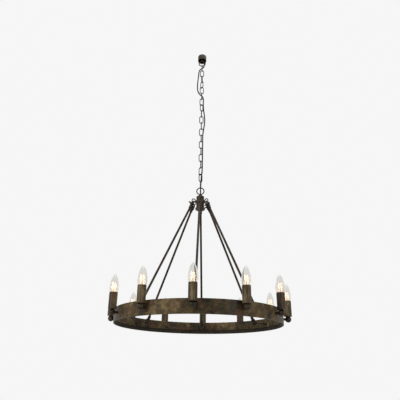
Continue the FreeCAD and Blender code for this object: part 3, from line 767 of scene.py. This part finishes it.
def clevis(shape, place):
    """Fork with the bolt along X and the rod along -Z, forged in one with its socket."""
    side_steps = 10
    arch = [(EAR_RADIUS * math.cos(math.pi * i / side_steps), EAR_RADIUS * math.sin(math.pi * i / side_steps))
            for i in range(side_steps + 1)]
    outline = arch + [(-EAR_RADIUS, -BRIDGE_BOTTOM), (EAR_RADIUS, -BRIDGE_BOTTOM)]
    upright = Matrix(((0, 0, 1), (1, 0, 0), (0, 1, 0))).to_4x4()
    for low in (-EAR_OUTER, EAR_HALF_GAP):
        shape.plate(outline, low, low + EAR_THICKNESS, place @ upright, 0.6 * MM)
    base = [(EAR_OUTER, EAR_RADIUS), (-EAR_OUTER, EAR_RADIUS),
            (-EAR_OUTER, -EAR_RADIUS), (EAR_OUTER, -EAR_RADIUS)]
    shape.plate(base, -BRIDGE_BOTTOM, -BRIDGE_TOP, place, 0.5 * MM)
    shape.lathe(rounded([
        (0, -BRIDGE_BOTTOM + 1 * MM), (CLEVIS_SOCKET, -BRIDGE_BOTTOM + 1 * MM),
        (CLEVIS_SOCKET, -CLEVIS_LENGTH + 3 * MM), (CLEVIS_SOCKET, -CLEVIS_LENGTH + 1 * MM),
        (CLEVIS_SOCKET - 0.8 * MM, -CLEVIS_LENGTH), (0, -CLEVIS_LENGTH)], 0.4 * MM), place, 32)


LYING = Matrix(((0, 0, 1), (0, 1, 0), (-1, 0, 0))).to_4x4()     # turns Z to X


def clevis_bolt(shape, place):
    """Round-headed bolt along X, with its threaded end past the nut."""
    lying = place @ LYING
    head_end, head_edge = -EAR_OUTER - BOLT_HEAD_HEIGHT, -EAR_OUTER - BOLT_HEAD_HEIGHT * 0.55
    head = [(0, head_end), (BOLT_HEAD * 0.75, head_end), (BOLT_HEAD, head_edge),
            (BOLT_HEAD, -EAR_OUTER), (0, -EAR_OUTER)]
    shape.lathe(rounded(head, 0.8 * MM), lying, 28)
    shape.lathe([(0, -EAR_OUTER), (BOLT_RADIUS, -EAR_OUTER), (BOLT_RADIUS, EAR_OUTER), (0, EAR_OUTER)],
                lying, 24)
    shape.lathe(screw_outline(BOLT_RADIUS, EAR_OUTER, EAR_OUTER + NUT_HEIGHT + STUB, THREAD_PITCH), lying, 24)


def rods_and_fittings():
    hub_eyes, wheel_eyes, rings, upper, lower, bolts, nuts = (Shape() for _ in range(7))
    nut_place = Matrix.Translation((EAR_OUTER, 0, 0)) @ LYING
    for index in range(RODS):
        angle = TURN * index / RODS
        axis = rod_axis(angle)
        wheel_shank = WHEEL_EYE[0] + EYE_RADIUS
        eye(hub_eyes, angle, HUB_EYE, HUB_SHANK_START, HUB_EYE[0] - EYE_RADIUS, HUB_SHOULDER)
        eye(wheel_eyes, angle, WHEEL_EYE, wheel_shank, WHEEL_SHANK_END, wheel_shank + 2 * MM)
        rings.ring(JOINING_RING, EYE_WIRE,
                   along(out_of_rod(angle), at(angle, *HUB_EYE) + axis * RING_FROM_EYE))
        top = placing(out_of_rod(angle) * UPPER_BOLT_SIDES[index], axis * -1,
                      at(angle, *HUB_EYE) + axis * UPPER_BOLT_FROM_EYE)
        low = placing(across(angle) * -1, axis, at(angle, *WHEEL_EYE) - axis * BOLT_FROM_EYE)
        clevis(upper, top)
        clevis(lower, low)
        for place in (top, low):
            clevis_bolt(bolts, place)
            hex_nut(nuts, place @ nut_place)
        rod = Shape()
        from_bolt = CLEVIS_LENGTH - ROD_IN_SOCKET
        start = at(angle, *HUB_EYE) + axis * (UPPER_BOLT_FROM_EYE + from_bolt)
        end = at(angle, *WHEEL_EYE) - axis * (BOLT_FROM_EYE + from_bolt)
        steps = 60
        dents = random.Random(index)
        radii = [ROD_RADIUS * (1 - 0.012 * dents.random()) for _ in range(steps + 1)]
        rod.tube([start.lerp(end, i / steps) for i in range(steps + 1)], radii, 24)
        rod.piece("rod_bar_%d" % (index + 1), "chandelier", ["support_rod_%d" % (index + 1)], ROD_PAINT)
    hub_eyes.piece("hub_eye_rings", "chandelier", ["hub_eye_bolts"], DARK_PAINT)
    wheel_eyes.piece("wheel_eye_rings", "chandelier", ["wheel_eye_bolts"], DARK_PAINT)
    rings.piece("joining_ring_wires", "chandelier", ["joining_rings"], DARK_PAINT)
    upper.piece("upper_forks", "chandelier", ["upper_clevises"], ROD_PAINT)
    lower.piece("lower_forks", "chandelier", ["lower_clevises"], ROD_PAINT)
    bolts.piece("fork_bolts", "chandelier", ["clevis_bolts"], DARK_PAINT)
    nuts.piece("fork_nuts", "chandelier", ["clevis_nuts"], DARK_PAINT)


# ---- wheel ----
def rolled_band(name, node, outer, inner, top, bottom, material, seed):
    """Flat bar rolled into a hoop: softened edges and shallow dents from the hammer."""
    round_steps, rows = 540, 10
    rise = top - bottom
    face = [(outer, bottom + rise * i / rows) for i in range(rows + 1)]
    back = [(inner, top - rise * i / rows) for i in range(rows + 1)]
    shape = Shape()
    shape.lathe(rounded_ends(face, back, 0.7 * MM), sides=round_steps, closed=True)
    dents = random.Random(seed)
    waves = [(dents.randint(9, 70), dents.uniform(60, 160), dents.uniform(0, TURN), dents.uniform(0.3, 1.0))
             for _ in range(14)]

    def dent(point):
        angle = math.atan2(point.x, -point.y)
        depth = sum(size * math.sin(count * angle + lean * point.z + phase)
                    for count, lean, phase, size in waves)
        return point - outward(angle) * (HAMMERING * abs(depth) / 4)

    shape.move_each(dent)
    shape.piece(name, "chandelier", [node], material)


def rounded_ends(face, back, radius):
    """Closed outline of a bar from its two faces, with its four edges rounded."""
    outer, inner = face[0][0], back[0][0]
    bottom, top = face[0][1], face[-1][1]
    steps = 4
    centres = [(outer - radius, top - radius), (inner + radius, top - radius),
               (inner + radius, bottom + radius), (outer - radius, bottom + radius)]
    corners = []
    for quarter, (r, h) in enumerate(centres):
        turns = [TURN / 4 * (quarter + i / steps) for i in range(steps + 1)]
        corners.append([(r + radius * math.cos(turn), h + radius * math.sin(turn)) for turn in turns])
    return face[1:-1] + corners[0] + corners[1] + back[1:-1] + corners[2] + corners[3]


def wheel():
    rim_radius = rim_high.x
    rim_inner = rim_radius - RIM_THICKNESS
    rolled_band("rim_band", "wheel_rim", rim_radius, rim_inner, rim_high.z, rim_low.z, RIM_PAINT_AND_INNER_SHADE, 3)
    rolled_band("hoop_band", "inner_hoop", rim_inner, rim_inner - HOOP_THICKNESS, hoop_high.z, hoop_low.z,
                HOOP_PAINT, 8)

    nuts, bolts = Shape(), Shape()
    face = rim_inner - HOOP_THICKNESS
    for index in range(RODS):
        angle = TURN * index / RODS
        hex_nut(nuts, along(outward(angle) * -1, at(angle, face, BALL_Z)))
        angle += TURN / LAMPS
        head = [(0, -1 * MM), (BOLT_HEAD, -1 * MM), (BOLT_HEAD, BOLT_HEAD_HEIGHT * 0.45),
                (BOLT_HEAD * 0.7, BOLT_HEAD_HEIGHT), (0, BOLT_HEAD_HEIGHT)]
        bolts.lathe(rounded(head, 0.9 * MM), along(outward(angle) * -1, at(angle, face, BALL_Z)), 28)
    nuts.piece("eye_lock_nuts", "chandelier", ["wheel_eye_nuts"], DARK_PAINT)
    bolts.piece("lamp_bolt_heads", "chandelier", ["lamp_bolts"], DARK_PAINT)


# ---- lamps ----
def lamp_fittings():
    """Ball, spacer and seat under every candle."""
    balls, spacers, seats = Shape(), Shape(), Shape()
    bevel = 0.4 * MM
    for index in range(LAMPS):
        angle = TURN * index / LAMPS
        upright = Matrix.Translation(at(angle, LAMP_CIRCLE, 0))
        top = math.asin((ball_high.z - BALL_Z) / BALL_RADIUS)
        steps = 26
        turns = [-TURN / 4 + (TURN / 4 + top) * i / steps for i in range(steps + 1)]
        arc = [(BALL_RADIUS * math.cos(turn), BALL_Z + BALL_RADIUS * math.sin(turn)) for turn in turns]
        balls.lathe([(0, arc[0][1])] + arc[1:] + [(0, ball_high.z)], upright, 40)
        start, length = at(angle, rim_high.x, BALL_Z), LAMP_CIRCLE - rim_high.x - BALL_RADIUS + 2 * MM
        tube = [(0, -0.5 * MM), (SPACER_RADIUS, -0.5 * MM), (SPACER_RADIUS, length), (0, length)]
        spacers.lathe(rounded(tube, 0.3 * MM), along(outward(angle), start), 28)
        plate = [(0, seat_low.z), (SLEEVE_RADIUS - bevel, seat_low.z), (SLEEVE_RADIUS, seat_low.z + bevel),
                 (SLEEVE_RADIUS, seat_high.z), (0, seat_high.z)]
        seats.lathe(rounded(plate, 0.15 * MM), upright, 48)
    balls.piece("lamp_ball_knobs", "chandelier", ["lamp_balls"], DARK_PAINT)
    spacers.piece("lamp_spacer_tubes", "chandelier", ["lamp_spacers"], DARK_PAINT)
    seats.piece("sleeve_seat_plates", "chandelier", ["sleeve_seats"], DARK_PAINT)


def candle_sleeve(index, angle):
    low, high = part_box("candle_sleeve_%02d" % index)
    shape = Shape()
    inner = SLEEVE_RADIUS - SLEEVE_WALL
    rows = 14
    rise = high.z - low.z
    outer_face = [(SLEEVE_RADIUS, low.z + rise * i / rows) for i in range(1, rows)]
    shape.lathe([(inner, low.z), (SLEEVE_RADIUS - 0.2 * MM, low.z)] + outer_face
                + [(SLEEVE_RADIUS - 0.05 * MM, high.z - 0.4 * MM),
                   (SLEEVE_RADIUS - 0.3 * MM, high.z - 0.1 * MM),
                   (SLEEVE_RADIUS - 0.5 * MM, high.z), (inner + 0.2 * MM, high.z - 0.1 * MM),
                   (inner, high.z - 0.5 * MM)],
                Matrix.Translation(at(angle, LAMP_CIRCLE, 0)), 56, closed=True)
    shape.piece("sleeve_tube_%02d" % index, "chandelier", ["candle_sleeve_%02d" % index], SLEEVE_PAINT_AND_STREAK_SHEEN)


# the bulb's glass above its cap, in millimetres
GLASS_OUTLINE = [(8.2, 0.0), (11.2, 4.0), (14.2, 9.7), (16.8, 18.0), (17.5, 28.7), (15.7, 45.0),
                 (11.4, 63.0), (6.2, 74.0), (2.6, 78.2)]
GLASS_TIP = 79.2
GLASS_WALL = 0.9
SKIRT_HEIGHT = 2.5 * MM
CAP_HEIGHT = 21.5 * MM
BUTTON_HEIGHT = 1.5 * MM


def candle_bulb(index, angle):
    """Clear candle bulb: envelope, threaded cap, glass stem with its leads, four lit filament sticks."""
    body, node = "bulb_%02d" % index, "candle_bulb_%02d" % index
    cap_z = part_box(node)[0].z + BUTTON_HEIGHT
    skirt_top = cap_z + CAP_HEIGHT + SKIRT_HEIGHT
    turn = TURN / 8 + random.Random(index).uniform(-0.12, 0.12)
    place = Matrix.Translation(at(angle, LAMP_CIRCLE, 0)) @ Matrix.Rotation(turn, 4, "Z")

    glass = Shape()
    walls = []
    for inset in (0.0, GLASS_WALL):
        tip = GLASS_TIP - inset
        line = smooth_curve([((r - inset) * MM, skirt_top + h * MM * tip / GLASS_TIP)
                             for r, h in GLASS_OUTLINE])
        walls.append(line + [(0, skirt_top + tip * MM)])
    glass.lathe(walls[0][::-1] + walls[1], place, 56)
    glass.piece("bulb_envelope_%02d" % index, body, [node], GLASS)

    cap = Shape()
    thread = []
    turns, radius, depth = 5, 6.9 * MM, 0.8 * MM
    for step in range(turns * 6 + 1):
        share = step / (turns * 6)
        groove = depth * (0.5 - 0.5 * math.cos(TURN * turns * share))
        thread.append((radius - groove, cap_z + 3 * MM + 15 * MM * share))
    cap.lathe([(0, cap_z - BUTTON_HEIGHT), (2.6 * MM, cap_z - BUTTON_HEIGHT), (3 * MM, cap_z),
               (5.2 * MM, cap_z + 1 * MM)]
              + thread + [(radius, cap_z + CAP_HEIGHT), (8.4 * MM, cap_z + CAP_HEIGHT + 0.3 * MM),
                          (8.5 * MM, skirt_top), (0, skirt_top)], place, 40)
    cap.piece("bulb_cap_%02d" % index, body, [], NICKEL_CAP)

    stem = Shape()
    stem.lathe([(0, skirt_top + 0.2 * MM), (6.6 * MM, skirt_top + 0.4 * MM), (4.2 * MM, skirt_top + 4 * MM),
                (2.6 * MM, skirt_top + 9 * MM), (2.1 * MM, skirt_top + 20 * MM),
                (2.6 * MM, skirt_top + 24 * MM), (0, skirt_top + 25 * MM)], place, 24)
    stem.piece("bulb_stem_%02d" % index, body, [], GLASS)

    sticks, leads = Shape(), Shape()
    stick_low, stick_high = skirt_top + 11 * MM, skirt_top + 46 * MM
    for quarter in range(4):
        way = Matrix.Rotation(TURN * quarter / 4, 4, "Z")
        foot, head = Vector((6.0 * MM, 0, stick_low)), Vector((4.6 * MM, 0, stick_high))
        sticks.tube([foot, head], 1.5 * MM, 10, place=place @ way)
        low_lead = [Vector((1.6 * MM, 0, skirt_top + 21 * MM)),
                    Vector((4.5 * MM, 0, skirt_top + 13 * MM)), foot]
        high_lead = [head, Vector((2.4 * MM, 0, stick_high + 2.2 * MM)),
                     Vector((0, 0, stick_high + 2.6 * MM))]
        for lead in (low_lead, high_lead):
            leads.tube(lead, 0.3 * MM, 6, place=place @ way)
    sticks.piece("bulb_filaments_%02d" % index, body, [], FILAMENT)
    leads.piece("bulb_leads_%02d" % index, body, [], LEAD_WIRE)


def lamps():
    lamp_fittings()
    for index in range(LAMPS):
        angle = TURN * index / LAMPS
        candle_sleeve(index + 1, angle)
        candle_bulb(index + 1, angle)
    for node, material in (("lamp_holders", HOLDER_PLASTIC), ("lamp_nipples", ZINC)):
        for place in frame["nodes"][node].material_slots:
            place.material = material


# ---- studio ----
def camera():
    data = bpy.data.cameras.new("camera")
    data.sensor_width = 36.0
    data.lens = CAMERA_LENS
    data.clip_end = 50.0
    view = Vector((math.sin(CAMERA_AZIMUTH) * math.cos(CAMERA_ELEVATION),
                   math.cos(CAMERA_AZIMUTH) * math.cos(CAMERA_ELEVATION), math.sin(CAMERA_ELEVATION)))
    right = Matrix.Rotation(-CAMERA_ROLL, 3, view) @ Vector((view.y, -view.x, 0)).normalized()
    obj = bpy.data.objects.new("camera", data)
    obj.matrix_world = placing(right, view * -1, CAMERA_PLACE)
    bpy.context.scene.collection.objects.link(obj)
    bpy.context.scene.camera = obj


def soft_light(name, place, target, size, watts):
    data = bpy.data.lights.new(name, "AREA")
    data.shape = "RECTANGLE"
    data.size, data.size_y = size
    data.energy = watts
    obj = bpy.data.objects.new(name, data)
    obj.matrix_world = along(Vector(place) - Vector(target), Vector(place))
    bpy.context.scene.collection.objects.link(obj)


def seen_rays(tree):
    """1 for what the camera, a reflection or the glass shows, 0 for what lights the object."""
    rays = tree.nodes.new("ShaderNodeLightPath")
    seen = rays.outputs["Is Camera Ray"]
    for name in ("Is Glossy Ray", "Is Transmission Ray"):
        either = tree.nodes.new("ShaderNodeMath")
        either.operation = "MAXIMUM"
        tree.links.new(seen, either.inputs[0])
        tree.links.new(rays.outputs[name], either.inputs[1])
        seen = either.outputs[0]
    return seen


def world():
    scene_world = bpy.data.worlds.new("world")
    bpy.context.scene.world = scene_world
    scene_world.use_nodes = True
    tree = scene_world.node_tree
    tree.nodes.clear()
    shown = tree.nodes.new("ShaderNodeBackground")
    shown.inputs["Color"].default_value = linear(BACKGROUND)
    ambient = tree.nodes.new("ShaderNodeBackground")
    ambient.inputs["Color"].default_value = (1.0, 1.0, 1.0, 1.0)
    ambient.inputs["Strength"].default_value = 0.35
    mix = tree.nodes.new("ShaderNodeMixShader")
    tree.links.new(seen_rays(tree), mix.inputs[0])
    tree.links.new(ambient.outputs[0], mix.inputs[1])
    tree.links.new(shown.outputs[0], mix.inputs[2])
    output = tree.nodes.new("ShaderNodeOutputWorld")
    tree.links.new(mix.outputs[0], output.inputs["Surface"])


def studio():
    camera()
    world()
    middle_of_wheel = (0, 0, WHEEL_Z + 0.1)
    soft_light("left_box", (-2.0, -2.2, -0.5), middle_of_wheel, (0.7, 1.8), 30)
    soft_light("right_box", (2.2, -1.9, -0.7), middle_of_wheel, (0.6, 1.8), 13)
    soft_light("top_box", (0.2, -0.4, 0.9), middle_of_wheel, (2.0, 2.0), 22)
    floor = bpy.data.meshes.new("floor")
    radius, height, sides = 9.0, -3.0, 96
    edge = [(radius * math.cos(TURN * i / sides), radius * math.sin(TURN * i / sides), height)
            for i in range(sides)]
    floor.from_pydata(edge, [], [tuple(range(sides))])
    n = Nodes("floor_paint")
    n.link(n.ramp(n.noise(6.0, 2.0), [(0.3, linear((236, 236, 236))), (0.7, linear((242, 242, 242)))]),
           n.shader.inputs["Base Color"])
    n.shader.inputs["Roughness"].default_value = 0.9
    pale = n.tree.nodes.new("ShaderNodeEmission")
    pale.inputs["Color"].default_value = linear(BACKGROUND)
    mix = n.tree.nodes.new("ShaderNodeMixShader")
    n.link(n.maths("MULTIPLY", seen_rays(n.tree), n.spread(n.radius(), 0.8, 5.0, 0.7, 1.0)), mix.inputs[0])
    n.link(n.shader.outputs[0], mix.inputs[1])
    n.link(pale.outputs[0], mix.inputs[2])
    n.link(mix.outputs[0], n.tree.nodes["Material Output"].inputs["Surface"])
    floor.materials.append(n.material)
    obj = bpy.data.objects.new("floor", floor)
    bpy.context.scene.collection.objects.link(obj)


ceiling_end()
chain()
hub()
rods_and_fittings()
wheel()
lamps()
studio()
bpy.context.scene.view_settings.view_transform = "Standard"
